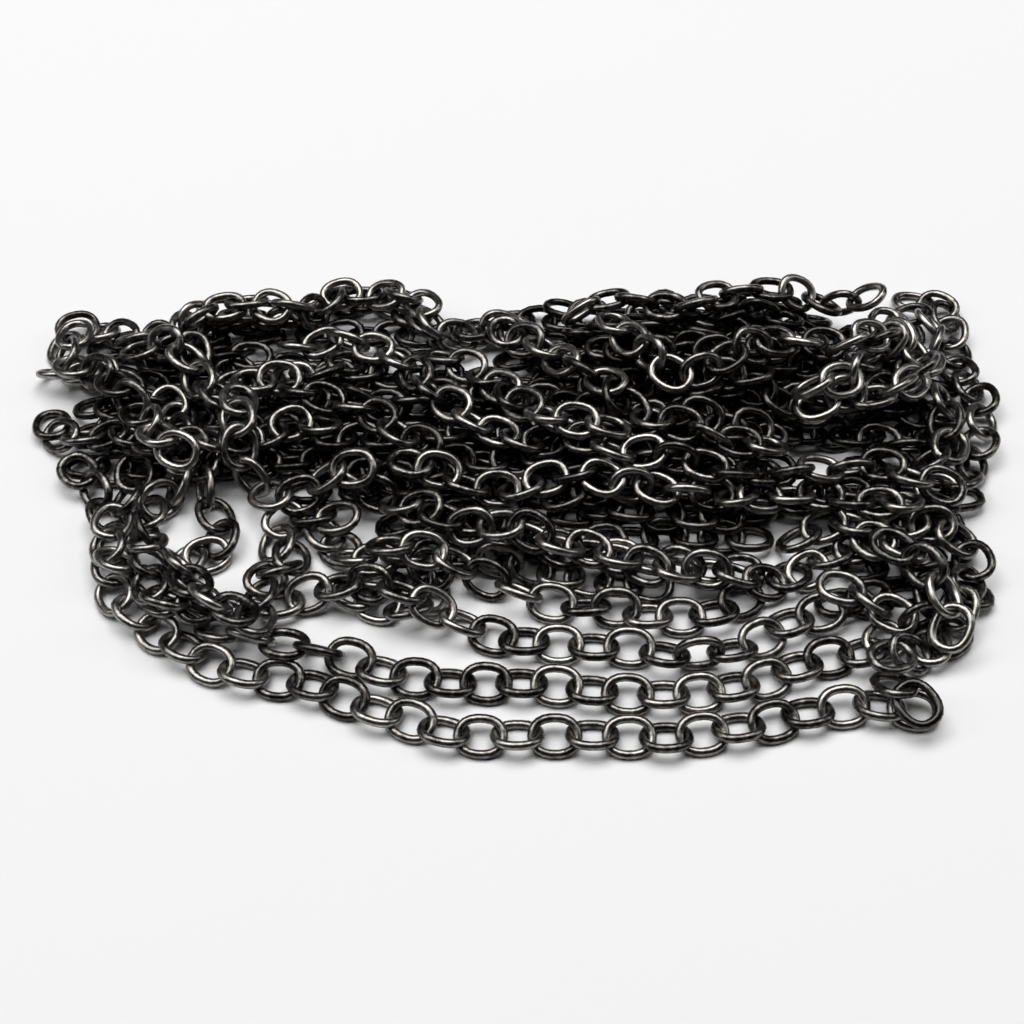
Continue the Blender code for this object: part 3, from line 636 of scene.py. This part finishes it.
def near_pairs(points, link, reach):
    """Pairs of wire points on different links within reach, found on a grid."""
    cell = np.floor((points - points.min(0)) / reach).astype(np.int64) + 2
    deep, high = cell[:, 1].max() + 3, cell[:, 2].max() + 3
    key = (cell[:, 0] * deep + cell[:, 1]) * high + cell[:, 2]
    order = np.argsort(key, kind="stable")
    ranked = key[order]
    firsts, seconds = [], []
    for dx, dy in ((0, 0), (0, 1), (1, -1), (1, 0), (1, 1)):
        away = (dx * deep + dy) * high
        start = np.searchsorted(ranked, key + away - 1, "left")
        found = np.searchsorted(ranked, key + away + 1, "right") - start
        i = np.repeat(np.arange(len(points)), found)
        skip = np.arange(found.sum()) - np.repeat(np.cumsum(found) - found, found)
        j = order[np.repeat(start, found) + skip]
        keep = (link[i] != link[j]) & ((i < j) | (dx != 0) | (dy != 0))
        i, j = i[keep], j[keep]
        gap = points[i] - points[j]
        keep = (gap * gap).sum(1) < reach * reach
        firsts.append(i[keep])
        seconds.append(j[keep])
    return np.concatenate(firsts), np.concatenate(seconds)


def summed(index, values, count):
    """Sums of the rows of values, or of plain values, by index."""
    if values.ndim == 1:
        return np.bincount(index, values, count)
    return np.stack([np.bincount(index, values[:, k], count) for k in range(3)], 1)


def capped(moves, most):
    size = np.sqrt((moves * moves).sum(1))
    return moves * np.minimum(1, most / np.maximum(size, 1e-9))[:, None]


def slip(moved, way, depth):
    """How much of a sliding move friction takes back."""
    slide = moved - (moved * way).sum(1)[:, None] * way
    size = np.sqrt((slide * slide).sum(1))
    return slide * np.minimum(1, GRIP * depth / np.maximum(size, 1e-9))[:, None]


class Contacts:
    """Pairs of wire points that are near, grouped by links and side of the link."""

    def __init__(self, points, link, count):
        self.points = points.copy()
        self.i, self.j = near_pairs(points, link, TOUCH + NEAR)
        part = (self.i % POINTS_A_LINK) * SECTORS // POINTS_A_LINK
        key = (link[self.i] * count + link[self.j]) * SECTORS + part
        groups, self.group = np.unique(key, return_inverse=True)
        self.a = groups // SECTORS // count
        self.b = groups // SECTORS % count

    def stale(self, points):
        return np.abs(points - self.points).max() > NEAR * 0.45

    def pressed(self, points, before):
        """Where links press together: links, places, direction, depth and sliding."""
        gap = points[self.i] - points[self.j]
        far = (gap * gap).sum(1)
        hit = np.flatnonzero(far < TOUCH * TOUCH)
        far = np.sqrt(far[hit])
        depth = TOUCH - far
        i, j, group = self.i[hit], self.j[hit], self.group[hit]
        total = np.bincount(group, depth, len(self.a))
        deepest = np.zeros(len(self.a))
        np.maximum.at(deepest, group, depth)
        on = np.flatnonzero(total > 0)
        share = depth / total[group]
        way = unit(summed(group, gap[hit] * (depth / np.maximum(far, 1e-6))[:, None],
                          len(self.a))[on])

        def middle(v):
            return summed(group, v * share[:, None], len(self.a))[on]

        at_a, at_b = middle(points[i]), middle(points[j])
        moved = (at_a - middle(before[i])) - (at_b - middle(before[j]))
        return self.a[on], self.b[on], at_a, at_b, way, deepest[on], moved


def settle(middles, q, keep, home, steps, pull, calm, hurry):
    """Moves stiff links in small steps and presses apart what touches."""
    count = len(middles)
    link = np.repeat(np.arange(count), POINTS_A_LINK)
    ease = 1 / np.array([(OVAL[:, 1] ** 2).mean(), (OVAL[:, 0] ** 2).mean(),
                         (OVAL ** 2).sum(1).mean()])
    speed, spin = np.zeros_like(middles), np.zeros_like(middles)
    contacts = None
    before = wires(middles, matrices(q)).reshape(-1, 3)
    for _ in range(steps):
        start, start_q = middles, q
        speed[:, 2] -= pull * STEP
        middles = middles + speed * STEP
        q = turned(q, spin * STEP)
        target = sight_line(home, middles[:, 2])
        middles[:, :2] += keep[:, None] * (target - middles[:, :2])
        for _ in range(PASSES):
            axes = matrices(q)
            arms = np.einsum("nij,kj->nki", axes, OVAL).reshape(-1, 3)
            points = middles[link] + arms
            if contacts is None or contacts.stale(points):
                contacts = Contacts(points, link, count)
            a, b, at_a, at_b, way, depth, moved = contacts.pressed(points, before)
            arm_a, arm_b = at_a - middles[a], at_b - middles[b]
            low = np.flatnonzero(points[:, 2] < WIRE / 2)
            f, arm_f, sunk = link[low], arms[low], WIRE / 2 - points[low, 2]
            busy = (np.bincount(a, minlength=count) + np.bincount(b, minlength=count)
                    + np.bincount(f, minlength=count) * 0.5)
            busy = np.maximum(busy, 1)
            give = np.einsum("nij,j,nkj->nik", axes, ease, axes)
            up = np.zeros_like(arm_f)
            up[:, 2] = 1

            def freedom(who, arm, direction):
                lever = cross(arm, direction)
                return busy[who] * (1 + (lever * np.einsum("mij,mj->mi", give[who],
                                                           lever)).sum(1))

            push = way * depth[:, None] - slip(moved, way, depth)
            push /= (freedom(a, arm_a, way) + freedom(b, arm_b, way))[:, None]
            lift = up * sunk[:, None] - slip(points[low] - before[low], up, sunk)
            lift /= freedom(f, arm_f, up)[:, None]
            shift = summed(a, push, count) - summed(b, push, count) + summed(f, lift, count)
            twist = (summed(a, cross(arm_a, push), count)
                     - summed(b, cross(arm_b, push), count)
                     + summed(f, cross(arm_f, lift), count))
            middles = middles + capped(shift, hurry)
            q = turned(q, capped(np.einsum("nij,nj->ni", give, twist), LARGEST_TURN))
        speed = capped((middles - start) / STEP * calm, hurry / STEP)
        spin = capped(turn_between(q, start_q) / STEP * calm, LARGEST_TURN / STEP)
        before = wires(middles, matrices(q)).reshape(-1, 3)
    return middles, q


HEAP = {}


def heap_links(name):
    """The settled links of one run, in metres and quaternions, laid once."""
    if not HEAP:
        names, sizes, middles, axes = lay_heap()
        home = middles.copy()
        keep = np.repeat([0.0 if n == "hidden" else HOLD for n in names], sizes)
        q = quaternions(axes)
        middles, q = settle(middles, q, keep, home, *PRESS_APART)
        for _ in range(STAGES):
            middles, q = settle(middles, q, keep, home, *LET_FALL)
        ends = np.cumsum(sizes)
        for run, end, size in zip(names, ends, sizes):
            places = (middles[end - size:end] - HEAP_MIDDLE) * MM
            HEAP.setdefault(run, []).append((places, q[end - size:end]))
        print("links:", len(middles))
    places = np.vstack([p for p, _ in HEAP[name]])
    return places, np.vstack([q for _, q in HEAP[name]])


# Node helpers

def node(tree, kind, place, **settings):
    made = tree.nodes.new(kind)
    made.location = place
    for key, value in settings.items():
        setattr(made, key, value)
    return made


def join(tree, source, target):
    tree.links.new(source, target)


def math_node(tree, operation, place, *values):
    made = node(tree, "ShaderNodeMath", place, operation=operation)
    for socket, value in zip(made.inputs, values):
        if isinstance(value, (int, float)):
            socket.default_value = value
        else:
            join(tree, value, socket)
    return made.outputs[0]


def link_tree():
    """Geometry Nodes that put a wire oval on every point and turn it."""
    tree = bpy.data.node_groups.new("chain_links", "GeometryNodeTree")
    face = tree.interface
    face.new_socket("Geometry", in_out="INPUT", socket_type="NodeSocketGeometry")
    sizes = {
        "Link length": ("NodeSocketFloat", LINK_LENGTH * MM),
        "Link width": ("NodeSocketFloat", LINK_WIDTH * MM),
        "Wire diameter": ("NodeSocketFloat", WIRE * MM),
        "Fullness": ("NodeSocketFloat", FULLNESS),
        "Bends": ("NodeSocketInt", 16),
        "Wire sides": ("NodeSocketInt", 6),
        "Seed": ("NodeSocketInt", 11),
    }
    for name, (kind, value) in sizes.items():
        socket = face.new_socket(name, in_out="INPUT", socket_type=kind)
        socket.default_value = value
    face.new_socket("Finish", in_out="INPUT", socket_type="NodeSocketMaterial")
    face.new_socket("Geometry", in_out="OUTPUT", socket_type="NodeSocketGeometry")
    given = node(tree, "NodeGroupInput", (-1400, 0)).outputs
    wire = given["Wire diameter"]

    circle = node(tree, "GeometryNodeCurvePrimitiveCircle", (-1000, 300))
    join(tree, given["Bends"], circle.inputs["Resolution"])
    circle.inputs["Radius"].default_value = 1.0
    place = node(tree, "GeometryNodeInputPosition", (-1200, 100))
    split = node(tree, "ShaderNodeSeparateXYZ", (-1050, 100))
    join(tree, place.outputs[0], split.inputs[0])
    power = math_node(tree, "DIVIDE", (-1050, -60), 2.0, given["Fullness"])
    merge = node(tree, "ShaderNodeCombineXYZ", (-300, 100))
    for axis, size in ((0, "Link length"), (1, "Link width")):
        y = 100 - 220 * axis
        inner = math_node(tree, "SUBTRACT", (-900, y - 80), given[size], wire)
        half = math_node(tree, "DIVIDE", (-750, y - 80), inner, 2.0)
        amount = math_node(tree, "ABSOLUTE", (-900, y), split.outputs[axis])
        full = math_node(tree, "POWER", (-750, y), amount, power)
        way = math_node(tree, "SIGN", (-900, y + 60), split.outputs[axis])
        reach = math_node(tree, "MULTIPLY", (-600, y), full, half)
        join(tree, math_node(tree, "MULTIPLY", (-450, y), reach, way), merge.inputs[axis])
    shaped = node(tree, "GeometryNodeSetPosition", (-100, 300))
    join(tree, circle.outputs["Curve"], shaped.inputs["Geometry"])
    join(tree, merge.outputs[0], shaped.inputs["Position"])

    factor = node(tree, "GeometryNodeSplineParameter", (-100, 100))
    along = node(tree, "GeometryNodeStoreNamedAttribute", (100, 300), data_type="FLOAT",
                 domain="POINT")
    along.inputs["Name"].default_value = "wire_along"
    join(tree, shaped.outputs["Geometry"], along.inputs["Geometry"])
    join(tree, factor.outputs["Factor"], along.inputs["Value"])

    section = node(tree, "GeometryNodeCurvePrimitiveCircle", (-100, -200))
    join(tree, given["Wire sides"], section.inputs["Resolution"])
    radius = math_node(tree, "MULTIPLY", (-300, -250), wire, CORNER_REACH)
    join(tree, radius, section.inputs["Radius"])
    around = node(tree, "GeometryNodeStoreNamedAttribute", (100, -200), data_type="FLOAT",
                  domain="POINT")
    around.inputs["Name"].default_value = "wire_around"
    turn = node(tree, "GeometryNodeSplineParameter", (-100, -400))
    join(tree, section.outputs["Curve"], around.inputs["Geometry"])
    join(tree, turn.outputs["Factor"], around.inputs["Value"])

    bent = node(tree, "GeometryNodeCurveToMesh", (300, 200))
    join(tree, along.outputs["Geometry"], bent.inputs["Curve"])
    join(tree, around.outputs["Geometry"], bent.inputs["Profile Curve"])
    smooth = node(tree, "GeometryNodeSetShadeSmooth", (450, 200))
    join(tree, bent.outputs["Mesh"], smooth.inputs["Geometry"])

    turns = node(tree, "GeometryNodeInputNamedAttribute", (300, 0), data_type="QUATERNION")
    turns.inputs["Name"].default_value = "turn"
    links = node(tree, "GeometryNodeInstanceOnPoints", (650, 200))
    join(tree, given["Geometry"], links.inputs["Points"])
    join(tree, smooth.outputs["Geometry"], links.inputs["Instance"])
    join(tree, turns.outputs[0], links.inputs["Rotation"])

    tone = node(tree, "FunctionNodeRandomValue", (650, -50), data_type="FLOAT")
    join(tree, given["Seed"], tone.inputs["Seed"])
    toned = node(tree, "GeometryNodeStoreNamedAttribute", (850, 200), data_type="FLOAT",
                 domain="INSTANCE")
    toned.inputs["Name"].default_value = "link_tone"
    join(tree, links.outputs["Instances"], toned.inputs["Geometry"])
    join(tree, tone.outputs[1], toned.inputs["Value"])

    real = node(tree, "GeometryNodeRealizeInstances", (1050, 200))
    join(tree, toned.outputs["Geometry"], real.inputs["Geometry"])
    finish = node(tree, "GeometryNodeSetMaterial", (1250, 200))
    join(tree, real.outputs["Geometry"], finish.inputs["Geometry"])
    join(tree, given["Finish"], finish.inputs["Material"])
    out = node(tree, "NodeGroupOutput", (1450, 200))
    join(tree, finish.outputs["Geometry"], out.inputs["Geometry"])
    return tree


def set_input(modifier, name, value):
    """Sets a Geometry Nodes input by its socket's identifier."""
    for item in modifier.node_group.interface.items_tree:
        if item.item_type == "SOCKET" and item.in_out == "INPUT" and item.name == name:
            modifier[item.identifier] = value
            return
    raise KeyError(name)


def chain_piece(name, finish, seed):
    """One piece of chain: the settled links of its runs, joined into one mesh."""
    runs, nodes = PIECES[name]
    parts = [heap_links(run) for run in runs]
    places = np.vstack([p for p, _ in parts])
    turns = np.vstack([q for _, q in parts])
    points = bpy.data.meshes.new(name + "_points")
    points.vertices.add(len(places))
    points.vertices.foreach_set("co", places.ravel().astype(np.float32))
    turn = points.attributes.new("turn", "QUATERNION", "POINT")
    turn.data.foreach_set("value", turns.ravel().astype(np.float32))
    carrier = bpy.data.objects.new(name + "_points", points)
    bpy.context.scene.collection.objects.link(carrier)
    sizes = bpy.context.scene.chain_sizes
    modifier = carrier.modifiers.new("links", "NODES")
    modifier.node_group = bpy.data.node_groups.get("chain_links") or link_tree()
    set_input(modifier, "Link length", sizes.link_length)
    set_input(modifier, "Link width", sizes.link_width)
    set_input(modifier, "Wire diameter", sizes.wire_diameter)
    set_input(modifier, "Bends", sizes.hidden_bends if "hidden" in runs else sizes.bends)
    set_input(modifier, "Wire sides", sizes.wire_sides)
    set_input(modifier, "Seed", seed)
    set_input(modifier, "Finish", finish)
    graph = bpy.context.evaluated_depsgraph_get()
    graph.update()
    mesh = bpy.data.meshes.new_from_object(
        carrier.evaluated_get(graph), preserve_all_data_layers=True, depsgraph=graph)
    mesh.name = name
    carrier.modifiers.remove(modifier)
    bpy.data.objects.remove(carrier, do_unlink=True)
    piece = bpy.data.objects.new(name, mesh)
    bpy.context.scene.collection.objects.link(piece)
    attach(piece, "root")
    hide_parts(*nodes)
    return piece


# Finish

# How much the plating colours of the hidden turns are darkened, as painted shade for turns that
# get little light
PAINTED_SHADE = 0.3


def plated_iron(name, dark, warm, rough):
    """Dark plated iron wire, mottled and lightly grained."""
    made = bpy.data.materials.new(name)
    made.use_nodes = True
    tree = made.node_tree
    shader = tree.nodes["Principled BSDF"]
    shader.inputs["Metallic"].default_value = 1.0

    place = node(tree, "ShaderNodeTexCoord", (-1200, 0)).outputs["Object"]
    tone = node(tree, "ShaderNodeAttribute", (-1200, -300), attribute_name="link_tone")
    blotch = node(tree, "ShaderNodeTexNoise", (-900, 200))
    blotch.inputs["Scale"].default_value = 700.0
    blotch.inputs["Detail"].default_value = 4.0
    blotch.inputs["Roughness"].default_value = 0.65
    join(tree, place, blotch.inputs["Vector"])
    lifted = math_node(tree, "MULTIPLY_ADD", (-700, 200), tone.outputs["Fac"], 0.35, -0.17)
    mixed = math_node(tree, "ADD", (-550, 200), blotch.outputs["Fac"], lifted)
    ramp = node(tree, "ShaderNodeValToRGB", (-380, 200))
    ramp.color_ramp.elements[0].position = 0.35
    ramp.color_ramp.elements[0].color = (*dark, 1)
    ramp.color_ramp.elements[1].position = 0.75
    ramp.color_ramp.elements[1].color = (*warm, 1)
    join(tree, mixed, ramp.inputs["Fac"])
    join(tree, ramp.outputs["Color"], shader.inputs["Base Color"])

    grain = node(tree, "ShaderNodeTexNoise", (-900, -100))
    grain.inputs["Scale"].default_value = 2600.0
    grain.inputs["Detail"].default_value = 3.0
    join(tree, place, grain.inputs["Vector"])
    spread = node(tree, "ShaderNodeMapRange", (-600, -60))
    spread.inputs["To Min"].default_value = rough - 0.05
    spread.inputs["To Max"].default_value = rough + 0.10
    join(tree, blotch.outputs["Fac"], spread.inputs["Value"])
    join(tree, spread.outputs["Result"], shader.inputs["Roughness"])

    bump = node(tree, "ShaderNodeBump", (-300, -250))
    bump.inputs["Strength"].default_value = 0.1
    bump.inputs["Distance"].default_value = 0.00004
    join(tree, grain.outputs["Fac"], bump.inputs["Height"])
    join(tree, bump.outputs["Normal"], shader.inputs["Normal"])
    return made


def finish_material(kind):
    """The shared plated finish, or the hidden turns' copy whose colours are darkened as painted
    shade.
    """
    found = bpy.data.materials.get(kind)
    if found:
        return found
    finish = bpy.context.scene.chain_finish
    if kind == "gunmetal_plate":
        return plated_iron(kind, finish.dark, finish.warm, finish.roughness)
    # Painted shade: the hidden turns' copy has its plating colours darkened
    return plated_iron(kind, [c * PAINTED_SHADE for c in finish.dark], [c * PAINTED_SHADE for c in finish.warm],
                       finish.roughness)


# Settings

class ChainSizes(bpy.types.PropertyGroup):
    """Sizes of one link, in metres."""

    link_length: bpy.props.FloatProperty(
        name="Link length", description="Outside length of a link", default=LINK_LENGTH * MM,
        min=0.004, max=0.016, unit="LENGTH", precision=4)
    link_width: bpy.props.FloatProperty(
        name="Link width", description="Outside width of a link", default=LINK_WIDTH * MM,
        min=0.003, max=0.014, unit="LENGTH", precision=4)
    wire_diameter: bpy.props.FloatProperty(
        name="Wire", description="Diameter of the wire", default=WIRE * MM,
        min=0.0005, max=0.003, unit="LENGTH", precision=5)
    bends: bpy.props.IntProperty(
        name="Bends", description="Straight steps round one link", default=22, min=8, max=48)
    hidden_bends: bpy.props.IntProperty(
        name="Hidden bends", description="Straight steps round one link of the hidden turns",
        default=14, min=8, max=48)
    wire_sides: bpy.props.IntProperty(
        name="Wire sides", description="Sides of the round wire", default=8, min=4, max=16)


class ChainFinish(bpy.types.PropertyGroup):
    """Colours of the plating and of the stage."""

    dark: bpy.props.FloatVectorProperty(
        name="Dark plating", description="Colour of the plating in the blotches' dark parts",
        default=(0.042, 0.039, 0.036), size=3, min=0, max=1, subtype="COLOR")
    warm: bpy.props.FloatVectorProperty(
        name="Warm plating", description="Colour of the plating where it is burnished",
        default=(0.360, 0.342, 0.318), size=3, min=0, max=1, subtype="COLOR")
    roughness: bpy.props.FloatProperty(
        name="Roughness", description="Middle roughness of the plating", default=0.27,
        min=0.05, max=1, subtype="FACTOR")
    floor: bpy.props.FloatVectorProperty(
        name="Floor", description="Colour of the floor", default=(0.80, 0.80, 0.80), size=3,
        min=0, max=1, subtype="COLOR")


# Operators, one for each group of runs

class BuildPiece:
    """What every piece's operator does."""

    bl_options = {"REGISTER", "UNDO"}
    piece = ""
    material = "gunmetal_plate"
    slot = "plated_iron"
    seed = 1

    def execute(self, context):
        made = chain_piece(self.piece, finish_material(self.material), self.seed)
        return {"FINISHED"}


class CHAIN_OT_front_rows(BuildPiece, bpy.types.Operator):
    """Four rows of chain that lie flat on the floor in front"""

    bl_idname = "chain.front_rows"
    bl_label = "Front rows"
    piece = "front_rows"


class CHAIN_OT_middle_rows(BuildPiece, bpy.types.Operator):
    """Rows of chain that climb the front of the mound"""

    bl_idname = "chain.middle_rows"
    bl_label = "Middle rows"
    piece = "middle_rows"
    seed = 2


class CHAIN_OT_upper_rows(BuildPiece, bpy.types.Operator):
    """Runs of chain over the top of the mound"""

    bl_idname = "chain.upper_rows"
    bl_label = "Upper rows"
    piece = "upper_rows"
    seed = 3


class CHAIN_OT_back_rows(BuildPiece, bpy.types.Operator):
    """Runs of chain along the heap's back edge"""

    bl_idname = "chain.back_rows"
    bl_label = "Back rows"
    piece = "back_rows"
    seed = 4


class CHAIN_OT_left_folds(BuildPiece, bpy.types.Operator):
    """Turns of chain where the rows fold back at the left"""

    bl_idname = "chain.left_folds"
    bl_label = "Left folds"
    piece = "left_folds"
    seed = 5


class CHAIN_OT_right_folds(BuildPiece, bpy.types.Operator):
    """Turns of chain where the rows fold back at the right"""

    bl_idname = "chain.right_folds"
    bl_label = "Right folds"
    piece = "right_folds"
    seed = 6


class CHAIN_OT_hidden_turns(BuildPiece, bpy.types.Operator):
    """Layers of chain inside the heap, under the runs that show"""

    bl_idname = "chain.hidden_turns"
    bl_label = "Hidden turns"
    piece = "hidden_turns_of_chain"
    # This finish is the plating with its colours darkened as painted shade
    material = "shaded_gunmetal"
    slot = "shaded_chain"
    seed = 7


class CHAIN_OT_stage(bpy.types.Operator):
    """Pale floor, soft studio light and the photo's camera"""

    bl_idname = "chain.stage"
    bl_label = "Stage"
    bl_options = {"REGISTER", "UNDO"}

    def execute(self, context):
        scene = context.scene
        half = 0.9
        corners = [(-half, -half, 0), (half, -half, 0), (half, half, 0), (-half, half, 0)]
        mesh = bpy.data.meshes.new("floor")
        mesh.from_pydata(corners, [], [(0, 1, 2, 3)])
        floor = bpy.data.objects.new("floor", mesh)
        scene.collection.objects.link(floor)
        paper = bpy.data.materials.new("pale_paper")
        paper.use_nodes = True
        shader = paper.node_tree.nodes["Principled BSDF"]
        shader.inputs["Base Color"].default_value = (*scene.chain_finish.floor, 1)
        shader.inputs["Roughness"].default_value = 0.9
        mesh.materials.append(paper)

        world = bpy.data.worlds.new("studio")
        scene.world = world
        world.use_nodes = True
        studio_backdrop(world.node_tree)
        soft_light("top_softbox", (-0.15, 0.45, 1.70), (2.00, 1.20), 41.0)
        soft_light("left_softbox", (-1.20, -0.10, 1.00), (0.36, 0.80), 3.0)
        soft_light("right_softbox", (1.25, 0.20, 0.95), (0.36, 0.80), 3.0)

        eye = Vector((0, -LOOK_FROM * math.cos(LOOK_DOWN), LOOK_FROM * math.sin(LOOK_DOWN)))
        target = -Vector(HEAP_MIDDLE)
        lens = bpy.data.cameras.new("photo_camera")
        lens.sensor_width = 36.0
        lens.lens = FOCAL_SHARE * 36.0
        lens.clip_start = 0.01
        camera = bpy.data.objects.new("photo_camera", lens)
        camera.location = (eye + target) * MM
        camera.rotation_euler = (-eye).to_track_quat("-Z", "Y").to_euler()
        scene.collection.objects.link(camera)
        scene.camera = camera
        scene.view_settings.view_transform = "Standard"
        return {"FINISHED"}


def studio_backdrop(tree):
    """A dark room round the softboxes, with a pale wall where the floor ends."""
    room = tree.nodes["Background"]
    room.inputs["Color"].default_value = (1, 1, 1, 1)
    room.inputs["Strength"].default_value = 0.01
    wall = node(tree, "ShaderNodeBackground", (-200, -150))
    wall.inputs["Color"].default_value = (1, 1, 1, 1)
    wall.inputs["Strength"].default_value = 0.70
    seen = node(tree, "ShaderNodeLightPath", (-200, 300))
    pick = node(tree, "ShaderNodeMixShader", (150, 0))
    join(tree, seen.outputs["Is Camera Ray"], pick.inputs[0])
    join(tree, room.outputs[0], pick.inputs[1])
    join(tree, wall.outputs[0], pick.inputs[2])
    join(tree, pick.outputs[0], tree.nodes["World Output"].inputs["Surface"])


def soft_light(name, place, size, power):
    """A rectangular softbox that faces the heap."""
    light = bpy.data.lights.new(name, "AREA")
    light.shape = "RECTANGLE"
    light.size, light.size_y = size
    light.energy = power
    lamp = bpy.data.objects.new(name, light)
    lamp.location = place
    lamp.rotation_euler = (-Vector(place)).to_track_quat("-Z", "Y").to_euler()
    bpy.context.scene.collection.objects.link(lamp)


class CHAIN_PT_heap(bpy.types.Panel):
    """Lists the heap's sizes, colours and pieces"""

    bl_label = "Chain heap"
    bl_idname = "CHAIN_PT_heap"
    bl_space_type = "VIEW_3D"
    bl_region_type = "UI"
    bl_category = "Chain heap"

    def draw(self, context):
        for group in (context.scene.chain_sizes, context.scene.chain_finish):
            box = self.layout.box()
            for name in group.__annotations__:
                box.prop(group, name)
        for operator in OPERATORS:
            self.layout.operator(operator.bl_idname)


OPERATORS = (
    CHAIN_OT_front_rows, CHAIN_OT_middle_rows, CHAIN_OT_upper_rows, CHAIN_OT_back_rows,
    CHAIN_OT_left_folds, CHAIN_OT_right_folds, CHAIN_OT_hidden_turns, CHAIN_OT_stage)
CLASSES = (ChainSizes, ChainFinish, *OPERATORS, CHAIN_PT_heap)


def register():
    for cls in CLASSES:
        bpy.utils.register_class(cls)
    bpy.types.Scene.chain_sizes = bpy.props.PointerProperty(type=ChainSizes)
    bpy.types.Scene.chain_finish = bpy.props.PointerProperty(type=ChainFinish)


def unregister():
    del bpy.types.Scene.chain_finish
    del bpy.types.Scene.chain_sizes
    for cls in reversed(CLASSES):
        bpy.utils.unregister_class(cls)


def main():
    register()
    bpy.ops.chain.front_rows()
    bpy.ops.chain.middle_rows()
    bpy.ops.chain.upper_rows()
    bpy.ops.chain.back_rows()
    bpy.ops.chain.left_folds()
    bpy.ops.chain.right_folds()
    bpy.ops.chain.hidden_turns()
    bpy.ops.chain.stage()


if __name__ == "__main__":
    main()
